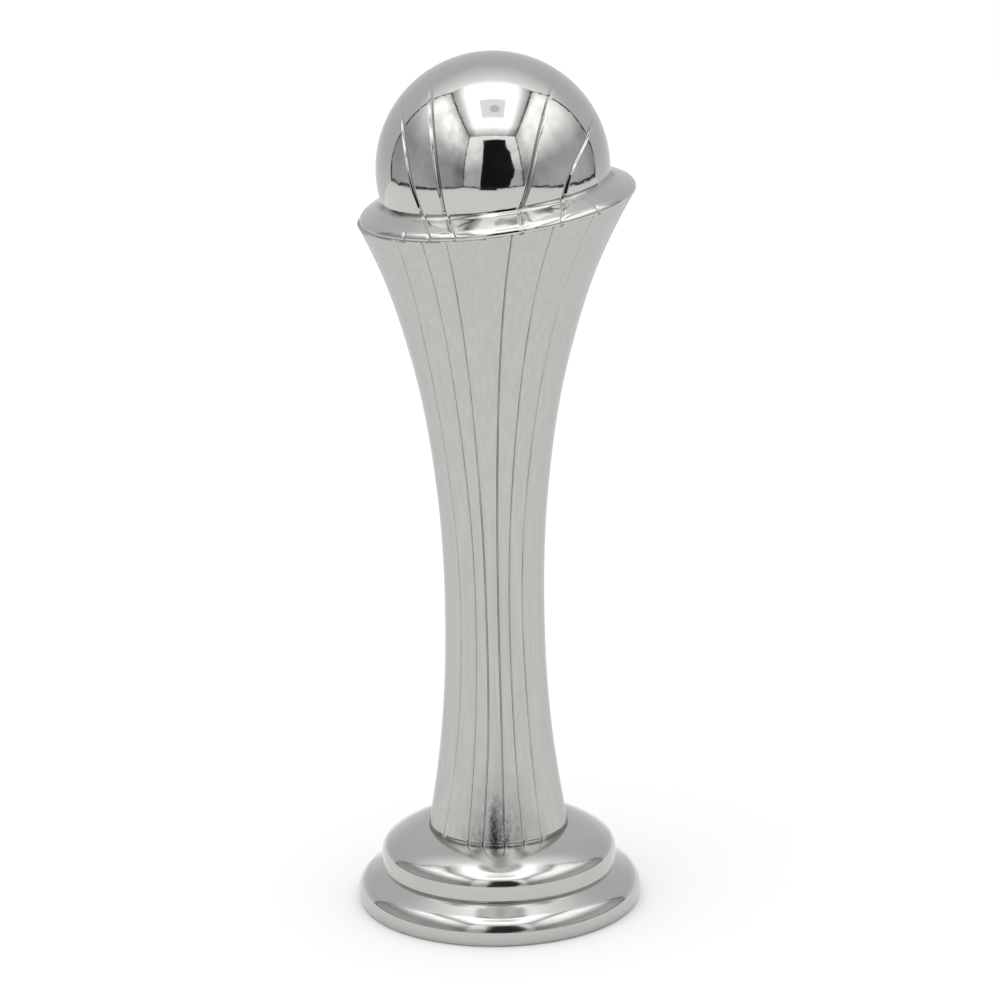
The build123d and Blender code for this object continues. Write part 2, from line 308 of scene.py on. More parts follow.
# %% Tent
def make_tent():
    """Front, sides, back and roof, with dark seams between them and a slit in front."""
    wide, high = TENT_HALF_WIDTH, TENT_ROOF
    deep = [(0.0, 0.50), (0.15, 0.60), (0.38, 0.88), (0.60, 1.0), (0.85, 1.0), (1.0, 0.72)]
    up = [(0.0, 0.32), (0.28, 0.24), (0.42, 0.42), (0.55, 0.72), (0.66, 0.95), (0.80, 0.95), (1.0, 0.45)]
    runs = [("Z", 0.0, high, up), ("Y", TENT_FRONT, TENT_BACK, deep)]
    left = cloth_light("tent left", 2.0, runs, 0.16)
    up = [(0.0, 0.31), (0.26, 0.29), (0.36, 0.50), (0.47, 0.78), (0.60, 0.92), (0.88, 0.97), (1.0, 0.50)]
    runs = [("Z", 0.0, high, up), ("Y", TENT_FRONT, TENT_BACK, deep)]
    right = cloth_light("tent right", 2.0, runs, 0.14)
    up = [(0.0, 0.42), (0.25, 0.42), (0.45, 0.72), (0.70, 0.86), (1.0, 0.98)]
    front = cloth_light("tent front", 1.56, [("Z", 0.0, high, up)], 0.12)
    up = [(0.0, 0.52), (0.10, 0.43), (0.38, 0.46), (0.55, 0.62), (0.80, 0.78), (1.0, 0.96)]
    back = cloth_light("tent back", 1.62, [("Z", 0.0, high, up)], 0.02)
    over = [(0.0, 0.25), (0.10, 0.50), (0.20, 1.0), (0.80, 1.0), (0.90, 0.50), (1.0, 0.22)]
    deep = [(0.0, 0.35), (0.12, 0.60), (0.24, 1.0), (0.82, 1.0), (1.0, 0.78)]
    runs = [("X", -wide, wide, over), ("Y", TENT_FRONT, TENT_BACK, deep)]
    roof = cloth_light("tent roof", 2.35, runs, 0.04)
    dark = plain_light("tent seam", 0.05)
    slit = plain_light("tent slit", 0.012)
    hatch = plain_light("tent hatch", 1.36)
    lamp = plain_light("tent lamp", 0.89)
    wall("tent left", 0, -wide, (TENT_FRONT, 0.0), (TENT_BACK, high), left)
    wall("tent right", 0, wide, (TENT_FRONT, 0.0), (TENT_BACK, high), right)
    wall("tent front", 1, TENT_FRONT, (-wide, 0.0), (wide, high), front)
    wall("tent back", 1, TENT_BACK, (-wide, 0.0), (wide, high), back)
    wall("tent roof", 2, high, (-wide, TENT_FRONT), (wide, TENT_BACK), roof)
    opening = [(x, TENT_FRONT + LIFT, z) for x, z in SLIT_OUTLINE]
    panel("camera slit", opening, slit)
    wall("slit sill", 2, LIFT, (-0.15, TENT_FRONT), (0.04, TENT_FRONT + 0.12), slit)
    wall("roof hatch", 2, high - LIFT, (-0.12, -0.36), (0.14, -0.08), hatch)
    bm = bmesh.new()
    bmesh.ops.create_circle(bm, cap_ends=True, segments=48, radius=0.055)
    bmesh.ops.translate(bm, verts=bm.verts, vec=(0.03, -0.22, high - 2 * LIFT))
    stage_piece("roof lamp", bm, lamp)
    front_y, back_y = TENT_FRONT + LIFT, TENT_BACK - LIFT
    for x in (LIFT - wide, wide - LIFT):
        seam("seam front", (x, front_y, 0), (x, front_y, high), (1, 0, 0), dark)
        seam("seam back", (x, back_y, 0), (x, back_y, high), (0, 1, 0), dark)
        seam("seam roof", (x, TENT_FRONT, high - LIFT), (x, TENT_BACK, high - LIFT), (0, 0, 1), dark)
        seam("seam roof flat", (x, TENT_FRONT, high - LIFT), (x, TENT_BACK, high - LIFT), (1, 0, 0), dark)
        seam("seam floor", (x, TENT_FRONT, SEAM), (x, TENT_BACK, SEAM), (0, 0, 1), dark, FLOOR_SEAM)
    seam("seam roof front", (-wide, front_y, high), (wide, front_y, high), (0, 0, 1), dark)
    seam("seam floor front", (-wide, front_y, SEAM), (wide, front_y, SEAM), (0, 0, 1), dark, FLOOR_SEAM)


make_tent()

# %% [markdown]
# ## Floor and soft light
#
# The floor is plain and pale. A white sky lights it from all round, and one large soft lamp
# above gives the trophy a faint shadow to stand on.

# %% Floor, sky and lamp
FLOOR_SIZE = 6.0
SKY = 1.05
LAMP_POWER = 0.8


def make_floor():
    """A wide pale floor at the level that the trophy stands on."""
    material, nodes, links, output = new_material("pale floor")
    shader = nodes.new("ShaderNodeBsdfPrincipled")
    shader.inputs["Base Color"].default_value = (0.93, 0.93, 0.925, 1.0)
    shader.inputs["Roughness"].default_value = 0.9
    shader.inputs["Specular IOR Level"].default_value = 0.0
    links.new(shader.outputs["BSDF"], output.inputs["Surface"])
    bm = bmesh.new()
    bmesh.ops.create_grid(bm, x_segments=1, y_segments=1, size=FLOOR_SIZE / 2)
    mesh = bpy.data.meshes.new("floor")
    bm.to_mesh(mesh)
    bm.free()
    mesh.materials.append(material)
    floor = bpy.data.objects.new("floor", mesh)
    bpy.context.collection.objects.link(floor)
    return floor


def make_light():
    """A white sky and a soft lamp overhead."""
    world = bpy.data.worlds.new("white sky")
    world.use_nodes = True
    sky = world.node_tree.nodes["Background"]
    sky.inputs["Color"].default_value = (1.0, 1.0, 1.0, 1.0)
    sky.inputs["Strength"].default_value = SKY
    world.cycles_visibility.glossy = False
    bpy.context.scene.world = world
    data = bpy.data.lights.new("soft lamp", "AREA")
    data.shape = "SQUARE"
    data.size = 0.6
    data.energy = LAMP_POWER
    lamp = bpy.data.objects.new("soft lamp", data)
    lamp.location = (-0.15, -0.25, 0.75)
    aim = Vector((0.0, 0.0, 0.05)) - lamp.location
    lamp.rotation_euler = aim.to_track_quat("-Z", "Y").to_euler()
    lamp.visible_glossy = False
    bpy.context.collection.objects.link(lamp)


make_floor()
make_light()
bpy.context.scene.view_settings.view_transform = "Standard"
print("floor", FLOOR_SIZE, "m wide, sky strength", SKY)

# %% [markdown]
# ## The plate
#
# Ball, collar and base are polished; the column is the same plate, finely brushed up and
# down. Real plate is never a perfect mirror: polishing leaves it a little wavy, and handling
# leaves hair scratches. Waves bend the mirrored seams, so they are a bump far too shallow to
# see as a shape. Numbers that are the same all over sit on the shader's own sockets.

# %% Noise, range and bump
POLISHED_COLOUR = (0.52, 0.52, 0.506, 1.0)
BRUSHED_COLOUR = (0.50, 0.50, 0.487, 1.0)
# the dark colour of painted shade in the cuts and under the ball, and of a painted dark reflection at the
# column's foot
PAINTED_DARK_COLOUR = (0.09, 0.09, 0.085, 1.0)
BRUSHED_EDGE = (0.80, 0.80, 0.80, 1.0)


def object_noise(nodes, links, stretch, scale, detail=2.0, rough=0.5):
    """Noise in object space, stretched by a Mapping node. Returns its value socket."""
    coords = nodes.new("ShaderNodeTexCoord")
    mapping = nodes.new("ShaderNodeMapping")
    mapping.inputs["Scale"].default_value = stretch
    texture = nodes.new("ShaderNodeTexNoise")
    texture.inputs["Scale"].default_value = scale
    texture.inputs["Detail"].default_value = detail
    texture.inputs["Roughness"].default_value = rough
    links.new(coords.outputs["Object"], mapping.inputs["Vector"])
    links.new(mapping.outputs["Vector"], texture.inputs["Vector"])
    return texture.outputs["Fac"]


def spread(nodes, links, source, low, high, start=0.3, end=0.7):
    """A value run from one range to another."""
    node = nodes.new("ShaderNodeMapRange")
    node.inputs["From Min"].default_value = start
    node.inputs["From Max"].default_value = end
    node.inputs["To Min"].default_value = low
    node.inputs["To Max"].default_value = high
    links.new(source, node.inputs["Value"])
    return node.outputs["Result"]


def bump(nodes, links, source, depth, before=None):
    """A bump of this many metres from a value, laid over an earlier one."""
    node = nodes.new("ShaderNodeBump")
    node.inputs["Strength"].default_value = 1.0
    node.inputs["Distance"].default_value = depth
    links.new(source, node.inputs["Height"])
    if before is not None:
        links.new(before, node.inputs["Normal"])
    return node.outputs["Normal"]


print("plate colours:", POLISHED_COLOUR[:3], "polished", BRUSHED_COLOUR[:3], "brushed")

# %% [markdown]
# ### Painted shade and reflection
#
# The cuts and the corner under the ball are darkened with painted shade, and the dents at the
# column's foot with a painted dark reflection. The cuts and the corner are known to the mesh,
# which hands them over as an attribute called cut. The marks at the foot lie round a point, so
# the material measures how far it is from there.

# %% Painted shade and reflection
def product(nodes, links, first, second):
    """Two values multiplied."""
    node = nodes.new("ShaderNodeMath")
    node.operation = "MULTIPLY"
    links.new(first, node.inputs[0])
    links.new(second, node.inputs[1])
    return node.outputs["Value"]


def near_point(nodes, links, point, squash, reach):
    """1 at a point of the piece, falling to 0 at this reach; a squashed axis reaches further."""
    coords = nodes.new("ShaderNodeTexCoord")
    mapping = nodes.new("ShaderNodeMapping")
    mapping.inputs["Location"].default_value = [-a * b for a, b in zip(point, squash)]
    mapping.inputs["Scale"].default_value = squash
    away = nodes.new("ShaderNodeVectorMath")
    away.operation = "LENGTH"
    links.new(coords.outputs["Object"], mapping.inputs["Vector"])
    links.new(mapping.outputs["Vector"], away.inputs[0])
    return spread(nodes, links, away.outputs["Value"], 1.0, 0.0, 0.0, reach)


def blended(nodes, links, first, second, factor):
    """One colour run into another by a factor. Both are sockets or plain colours."""
    mix = nodes.new("ShaderNodeMix")
    mix.data_type = "RGBA"
    for socket, colour in (("A", first), ("B", second)):
        if isinstance(colour, tuple):
            mix.inputs[socket].default_value = colour
        else:
            links.new(colour, mix.inputs[socket])
    links.new(factor, mix.inputs["Factor"])
    return mix.outputs["Result"]


def clouded(nodes, links, colour, stretch, scale, tint):
    """A plate colour with slight clouds or streaks of a darker tint."""
    clouds = spread(nodes, links, object_noise(nodes, links, stretch, scale), 0.0, 1.0)
    darker = tuple(value * (1.0 - tint) for value in colour[:3]) + (1.0,)
    return blended(nodes, links, colour, darker, clouds)


def painted_shade_in_cuts(nodes, links):
    """How much painted shade lies at a point: the mesh's own attribute says where the cuts and the corner
    under the ball are.
    """
    cut = nodes.new("ShaderNodeAttribute")
    cut.attribute_name = "cut"
    return spread(nodes, links, cut.outputs["Fac"], 0.0, 0.9, 0.0, 0.6)


# the dark colour used for painted shade and painted reflection
print("tarnish colour:", PAINTED_DARK_COLOUR[:3])

# %% [markdown]
# ### Polished and handled plate
#
# The ball and collar are the brightest polish. The base is the same plate, but it is what
# hands hold, so it is a little hazier and wavier. One function makes both, from a roughness
# range and the depth of the waves.

# %% Polished plate
def plate_shader(name, roughness):
    """Bare metal with a haze that varies over it."""
    material, nodes, links, output = new_material(name)
    shader = nodes.new("ShaderNodeBsdfPrincipled")
    shader.inputs["Metallic"].default_value = 1.0
    haze = spread(nodes, links, object_noise(nodes, links, (1, 1, 1), 420.0, 4.0), *roughness)
    links.new(haze, shader.inputs["Roughness"])
    links.new(shader.outputs["BSDF"], output.inputs["Surface"])
    return material, nodes, links, shader


def polished_plate(name, roughness, wave):
    """Mirror polish: shallow waves, faint hair scratches and a little haze."""
    material, nodes, links, shader = plate_shader(name, roughness)
    colour = clouded(nodes, links, POLISHED_COLOUR, (1, 1, 1), 160.0, 0.03)
    # painted shade in the cuts and in the corner under the ball
    colour = blended(nodes, links, colour, PAINTED_DARK_COLOUR, painted_shade_in_cuts(nodes, links))
    links.new(colour, shader.inputs["Base Color"])
    waves = object_noise(nodes, links, (1, 1, 1), 260.0, 1.0)
    normal = bump(nodes, links, waves, wave)
    hairs = object_noise(nodes, links, (1.0, 0.06, 0.5), 9000.0, 2.0)
    normal = bump(nodes, links, hairs, 0.0000004, normal)
    links.new(normal, shader.inputs["Normal"])
    return material


POLISHED = polished_plate("polished plate", (0.03, 0.08), 0.000006)
HANDLED = polished_plate("handled plate", (0.09, 0.17), 0.000014)
print("finishes:", POLISHED.name, "and", HANDLED.name)

# %% [markdown]
# ### Brushed plate
#
# The column is brushed up and down, so its noise is stretched to nearly nothing along Z and
# becomes upright strokes. Its edges are tinted darker, because a brushed metal does not
# brighten at a glancing angle as a polished one does. Painted shade lies unevenly in its lines,
# and a painted dark reflection with a darker painted streak, over dents in the bump, sits at the
# front of its foot.

# %% Brushed plate
# the near-black of the painted dark reflection streak at the column's foot, and the points that the
# painted foot reflection and the dents lie round
PAINTED_REFLECTION_COLOUR = (0.01, 0.01, 0.01, 1.0)
DENTED_FOOT_AND_PAINTED_REFLECTION = (-0.0001, -0.0081, 0.0098)
PAINTED_REFLECTION_STREAK = (-0.0005, -0.0081, 0.0092)


def brushed_plate():
    """The column's finish: upright brushing, uneven painted shade in the lines, and a dented foot with a
    painted dark reflection.
    """
    material, nodes, links, shader = plate_shader("brushed plate", (0.12, 0.22))
    shader.inputs["Specular Tint"].default_value = BRUSHED_EDGE
    colour = clouded(nodes, links, BRUSHED_COLOUR, (1.0, 1.0, 0.015), 2400.0, 0.09)
    # painted shade, uneven, in the engraved lines
    uneven = spread(nodes, links, object_noise(nodes, links, (1, 1, 0.5), 260.0, 3.0), 0.0, 0.55)
    painted_shade_in_lines = product(nodes, links, painted_shade_in_cuts(nodes, links), uneven)
    colour = blended(nodes, links, colour, PAINTED_DARK_COLOUR, painted_shade_in_lines)
    # a painted dark reflection at the front of the foot, over dents that are also a bump
    foot = near_point(nodes, links, DENTED_FOOT_AND_PAINTED_REFLECTION, (1.0, 1.0, 0.5), 0.0040)
    dents = object_noise(nodes, links, (1.0, 1.0, 0.35), 2300.0, 3.0, 0.6)
    grey = product(nodes, links, foot, spread(nodes, links, dents, 0.0, 0.60, 0.42, 0.64))
    colour = blended(nodes, links, colour, PAINTED_DARK_COLOUR, grey)
    # a darker painted reflection streak at the foot
    streak = near_point(nodes, links, PAINTED_REFLECTION_STREAK, (1.0, 0.1, 0.12), 0.0010)
    specks = object_noise(nodes, links, (1.0, 1.0, 0.8), 4200.0, 3.0, 0.6)
    dark = spread(nodes, links, product(nodes, links, streak, specks), 0.0, 0.85, 0.10, 0.42)
    colour = blended(nodes, links, colour, PAINTED_REFLECTION_COLOUR, dark)
    links.new(colour, shader.inputs["Base Color"])
    strokes = object_noise(nodes, links, (1.0, 1.0, 0.02), 5200.0, 3.0, 0.6)
    normal = bump(nodes, links, strokes, 0.000004)
    broad = object_noise(nodes, links, (1.0, 1.0, 0.06), 700.0, 2.0)
    normal = bump(nodes, links, broad, 0.000010, normal)
    normal = bump(nodes, links, product(nodes, links, dents, foot), 0.000025, normal)
    links.new(normal, shader.inputs["Normal"])
    return material


BRUSHED = brushed_plate()
print("finish:", BRUSHED.name)

# %% [markdown]
# ## Turned shapes
#
# A base like this is turned: one outline, spun about the column. The outline is a short list
# of points joined by arcs, and the spin operator makes the faces. Mirrors need many steps, so
# one turn has several hundred.

# %% Outline helpers
def ellipse_arc(centre, reach, start, end, steps):
    """Points along an ellipse, angles in degrees from outwards, towards up."""
    points = []
    for step in range(steps + 1):
        angle = radians(start + (end - start) * step / steps)
        points.append((centre[0] + reach[0] * cos(angle), centre[1] + reach[1] * sin(angle)))
    return points


def tangent_arc(start, heading, end, steps):
    """Points along the arc that leaves start in this heading and reaches end."""
    start, end, heading = Vector(start), Vector(end), Vector(heading).normalized()
    across = Vector((-heading.y, heading.x))
    chord = end - start
    radius = chord.length_squared / (2 * across.dot(chord))
    centre = start + across * radius
    turn = 2 * atan2(across.dot(chord), heading.dot(chord))
    spoke = start - centre
    points = []
    for step in range(steps + 1):
        points.append(tuple(centre + Matrix.Rotation(turn * step / steps, 2) @ spoke))
    return points


def smooth_value(points, place, end_bend=0.0):
    """The smooth curve through (place, value) points, read at one place.

    The end slopes follow the last stretch, or with an end bend carry its curve on.
    """
    count = len(points)
    place = min(max(place, points[0][0]), points[-1][0])
    gaps = [points[i + 1][0] - points[i][0] for i in range(count - 1)]
    rises = [(points[i + 1][1] - points[i][1]) / gaps[i] for i in range(count - 1)]
    slopes = [(rises[i - 1] * gaps[i] + rises[i] * gaps[i - 1]) / (gaps[i - 1] + gaps[i])
              for i in range(1, count - 1)]
    first = rises[0] + end_bend * (rises[0] - slopes[0])
    last = rises[-1] + end_bend * (rises[-1] - slopes[-1])
    slopes = [first] + slopes + [last]
    i = max(k for k in range(count - 1) if points[k][0] <= place + 1e-9)
    t = (place - points[i][0]) / gaps[i]
    pull_a, pull_b = slopes[i] * gaps[i], slopes[i + 1] * gaps[i]
    return (points[i][1] * (2 * t**3 - 3 * t**2 + 1) + pull_a * (t**3 - 2 * t**2 + t)
            + points[i + 1][1] * (3 * t**2 - 2 * t**3) + pull_b * (t**3 - t**2))


def smooth_height(points, steps):
    """A smooth outline through (height, radius) points, as points evenly spaced in height."""
    low, high = points[0][0], points[-1][0]
    heights = [low + (high - low) * step / steps for step in range(steps + 1)]
    return [(height, smooth_value(points, height, 1.0)) for height in heights]


print("a quarter turn in four steps:", ellipse_arc((0, 0), (1, 1), 0, 90, 4))

# %% [markdown]
# ### Spinning an outline into a piece
#
# The spin operator turns the outline through a full circle, and use_merge welds the last step
# to the first. Points on the axis all land in one place, so they are merged after it. Only
# then are the normals worked out, and only on a closed piece, where outwards has one meaning.

# %% Spin and finish
def spin_outline(outline, steps):
    """A bmesh of a closed (radius, height) outline turned once about Z."""
    bm = bmesh.new()
    verts = [bm.verts.new((radius, 0.0, height)) for radius, height in outline]
    edges = [bm.edges.new((a, b)) for a, b in zip(verts, verts[1:])]
    if hypot(outline[0][0], outline[-1][0]) > 0.01:
        edges.append(bm.edges.new((verts[-1], verts[0])))
    bmesh.ops.spin(bm, geom=verts + edges, cent=(0, 0, 0), axis=(0, 0, 1), angle=2 * pi,
                   steps=steps, use_merge=True, use_duplicate=False)
    bmesh.ops.remove_doubles(bm, verts=bm.verts, dist=0.0005)
    return bm


def finish_piece(bm, name, material, node):
    """Turn a bmesh in millimetres into a smooth piece that stands for a CAD node."""
    if all(len(edge.link_faces) == 2 for edge in bm.edges):
        bmesh.ops.recalc_face_normals(bm, faces=bm.faces)
    bmesh.ops.scale(bm, vec=(MM, MM, MM), verts=bm.verts)
    for face in bm.faces:
        face.smooth = True
    mesh = bpy.data.meshes.new(name)
    bm.to_mesh(mesh)
    bm.free()
    mesh.materials.append(material)
    piece = bpy.data.objects.new(name, mesh)
    bpy.context.collection.objects.link(piece)
    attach(piece, "root")
    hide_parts(node)
    print(name, "faces", len(mesh.polygons), "size in mm", [round(v / MM, 2) for v in piece.dimensions])
    return piece


print("finished pieces are scaled by", MM)

# %% [markdown]
# ## The base
#
# Two steps, each a soft dome that rolls over into an upright side. The dome mirrors the
# column and the roof; the side mirrors the tent's floor, which is the plain grey band. The
# crease between the steps is almost sharp. Underneath it is hollow, as a casting is.

# %% Base
BASE_BOTTOM_INSET = 0.3
LOWER_SIDE_HEIGHT = 1.37
LOWER_ROLL = 2.17
TREAD_SLOPE = 27.0
UPPER_RADIUS = BASE_RADIUS - 2.81
CREASE = (UPPER_RADIUS - 0.35, 4.33)
CREASE_CORNER = 0.3
UPPER_SIDE_HEIGHT = 5.93
UPPER_ROLL = 1.86
DOME_SLOPE = 38.0
BASE_HEIGHT = 9.15
FOOT_RADIUS = 8.1
SEAT_FLAT = FOOT_RADIUS + 0.2
ROD_HOLE = 1.7
RIM_MIDDLE = 15.6
HOLLOW = ((9.4, 7.35), (11.2, 6.6), (11.99, 4.75), (11.99, 2.43), (14.4, 2.43), (14.4, 0.9), (14.9, 0.9))
BASE_STEPS = 360


def base_outline():
    """The base's section: up the outside, in over the top, and back down the hollow."""
    bottom = (BASE_RADIUS - BASE_BOTTOM_INSET, BASE_BOTTOM)
    side = (BASE_RADIUS, LOWER_SIDE_HEIGHT)
    roll = (BASE_RADIUS - LOWER_ROLL, LOWER_SIDE_HEIGHT)
    corner = (UPPER_RADIUS, CREASE[1] + CREASE_CORNER)
    upper_roll = (UPPER_RADIUS - UPPER_ROLL, UPPER_SIDE_HEIGHT)
    outline = tangent_arc(side, (0, -1), bottom, 10)[::-1]
    outline += ellipse_arc(roll, (LOWER_ROLL, LOWER_ROLL), 0, 90 - TREAD_SLOPE, 40)[1:]
    heading = (-cos(radians(TREAD_SLOPE)), sin(radians(TREAD_SLOPE)))
    outline += tangent_arc(outline[-1], heading, CREASE, 14)[1:]
    outline += tangent_arc(corner, (0, -1), CREASE, 10)[-2::-1]
    outline += ellipse_arc(upper_roll, (UPPER_ROLL, UPPER_ROLL), 0, 90 - DOME_SLOPE, 36)
    heading = (-cos(radians(DOME_SLOPE)), sin(radians(DOME_SLOPE)))
    outline += tangent_arc(outline[-1], heading, (SEAT_FLAT, BASE_HEIGHT), 30)[1:]
    outline += [(FOOT_RADIUS, BASE_HEIGHT), (ROD_HOLE, BASE_HEIGHT), (ROD_HOLE, HOLLOW[0][1])]
    outline += HOLLOW
    outline += [(HOLLOW[-1][0], BASE_BOTTOM), (RIM_MIDDLE, BASE_BOTTOM)]
    return outline


def make_base():
    """The two-tier base."""
    bm = spin_outline(base_outline(), BASE_STEPS)
    return finish_piece(bm, "stepped_base", HANDLED, "base_shell")


make_base()

# %% [markdown]
# ## Engraved lines and grooves
#
# Column and ball carry cut lines. On a mirror a bump alone looks painted, so the lines are
# cut into the mesh: its lanes run along them, close together across each cut and wide apart
# between. The helper gives the places of the lanes between two neighbouring lines, and how
# deep each one is pressed in.

# %% Lanes across a cut surface
CUT_SHARES = (0.0, 0.3, 0.6, 0.85, 1.0, 1.35)
SOFT_BOTTOM = 0.03


def cut_depth(share):
    """Depth across a cut, 1 in the middle and 0 from its edge on, with a soft bottom."""
    if share >= 1.0:
        return 0.0
    rise = sqrt(share**2 + SOFT_BOTTOM) - sqrt(SOFT_BOTTOM)
    return 1.0 - rise / (sqrt(1.0 + SOFT_BOTTOM) - sqrt(SOFT_BOTTOM))


def lanes_between(first, last, reach, fills):
    """Places and depths from one line up to, but without, the next."""
    near = [first + share * reach for share in CUT_SHARES]
    far = [last - share * reach for share in reversed(CUT_SHARES[1:])]
    gap = far[0] - near[-1]
    middle = [near[-1] + gap * (k + 1) / (fills + 1) for k in range(fills)]
    depths = [cut_depth(share) for share in CUT_SHARES]
    depths += [0.0] * fills + [cut_depth(share) for share in reversed(CUT_SHARES[1:])]
    return list(zip(near + middle + far, depths))


print("depths across half a cut:", [round(cut_depth(share), 2) for share in CUT_SHARES])

# %% [markdown]
# ## The head's lean
#
# Ball and collar are turned about one axis that leans a few degrees to the left, so the rim
# is high on the right. Both are built upright, with the ball's centre at zero, and leaned by
# one matrix.

# %% Lean
LEAN = radians(6.67)
HEAD = Matrix.Translation(BALL_CENTRE) @ Matrix.Rotation(-LEAN, 4, "Y")
SEAT_DROP = 2.1
SEAT_RADIUS = sqrt(BALL_RADIUS**2 - SEAT_DROP**2)
LEDGE_SLOPE = radians(27.5)
LEDGE_WIDTH = 2.1
SHOULDER_ROUND = 1.3
SHOULDER_SLOPE = radians(60.0)
LIP_ROUND = 0.45
NOSE_SHARE = 0.55
SHOULDER_TOP = (SEAT_RADIUS + LEDGE_WIDTH, -SEAT_DROP - LEDGE_WIDTH * sin(LEDGE_SLOPE) / cos(LEDGE_SLOPE))
SHOULDER_END = (SHOULDER_TOP[0] + SHOULDER_ROUND * (sin(SHOULDER_SLOPE) - sin(LEDGE_SLOPE)),
                SHOULDER_TOP[1] - SHOULDER_ROUND * (cos(LEDGE_SLOPE) - cos(SHOULDER_SLOPE)))
LIP_RADIUS = SHOULDER_END[0] - LIP_ROUND * sin(SHOULDER_SLOPE)
LIP_DROP = LIP_ROUND * cos(SHOULDER_SLOPE) - SHOULDER_END[1]
JOINT_DROP = LIP_DROP + LIP_ROUND * NOSE_SHARE
LIP_REACH = LIP_RADIUS + LIP_ROUND
print("lip reach", round(LIP_REACH, 2), "joint drop", round(JOINT_DROP, 2))

# %% [markdown]
# ## The column
#
# The column narrows to a waist and flares like a trumpet under the collar. Twelve engraved
# lines run up it, six in front and six behind, closer at the waist than at the mouth. A ring
# of lanes is extruded up the column a step at a time, and each new ring is set to the
# outline's radius with its lanes on the lines. The slanted mouth is then cut with a plane,
# and a Solidify modifier gives the casting its wall.

# %% Column sizes
COLUMN_HEIGHT = 73.5
WAIST_RADIUS = 5.72
MOUTH_RADIUS = BALL_CENTRE.x + JOINT_DROP * sin(LEAN) + LIP_REACH * cos(LEAN) - 0.12
LINE_WIDTH = 0.26
LINE_DEPTH = 0.12
LINE_STATIONS = (-0.01, 0.19, 0.39, 0.72, 1.0)
LINE_AZIMUTHS = (
    (-53, -45, -43.3, -49, -42.3),
    (-27, -23.7, -22.9, -28.7, -29.2),
    (-14, -9, -10, -15.6, -18),
    (4.5, 5, 4, 5.9, 9.7),
    (21, 18.7, 17.4, 22.9, 26.8),
    (38.5, 36.8, 33.8, 40.9, 45.8),
)
COLUMN_STEPS = 150
LANE_SPACING = 3.0
LEAST_LANES = 3
WALL = 1.3


def column_outline():
    """(height, radius) points that shape the column's outside."""
    foot_rise, mouth_rise = FOOT_RADIUS - WAIST_RADIUS, MOUTH_RADIUS - WAIST_RADIUS
    shares = [(0.0, foot_rise), (0.15, 0.31 * foot_rise), (0.354, 0.0), (0.557, 0.064 * mouth_rise),
              (0.76, 0.294 * mouth_rise), (0.923, 0.649 * mouth_rise), (1.0265, mouth_rise)]
    return [(BASE_HEIGHT + share * COLUMN_HEIGHT, WAIST_RADIUS + rise) for share, rise in shares]


def line_azimuths(height):
    """The twelve lines' azimuths at a height, in radians, rising round the column."""
    share = (height - BASE_HEIGHT) / COLUMN_HEIGHT
    front = [smooth_value(list(zip(LINE_STATIONS, azimuths)), share) for azimuths in LINE_AZIMUTHS]
    return [radians(value) for value in front + [180 - value for value in reversed(front)]]


print("mouth radius", round(MOUTH_RADIUS, 2), "lines at the foot",
      [round(degrees(value)) for value in line_azimuths(BASE_HEIGHT)])

# %% Column
def column_lanes(height, radius, fills):
    """Every lane's azimuth and depth share round the column at a height."""
    lines = line_azimuths(height)
    ends = lines[1:] + [lines[0] + 2 * pi]
    reach = LINE_WIDTH / 2 / radius
    lanes = []
    for first, last, count in zip(lines, ends, fills):
        lanes += lanes_between(first, last, reach, count)
    return lanes


def set_ring(ring, layers, height, radius, lanes):
    """Put one ring's vertices on the outline, pressed in where a line runs."""
    lane_layer, cut_layer = layers
    for vert in ring:
        azimuth, depth = lanes[vert[lane_layer]]
        vert[cut_layer] = depth
        out = radius - depth * LINE_DEPTH
        vert.co = (out * sin(azimuth), -out * cos(azimuth), height)


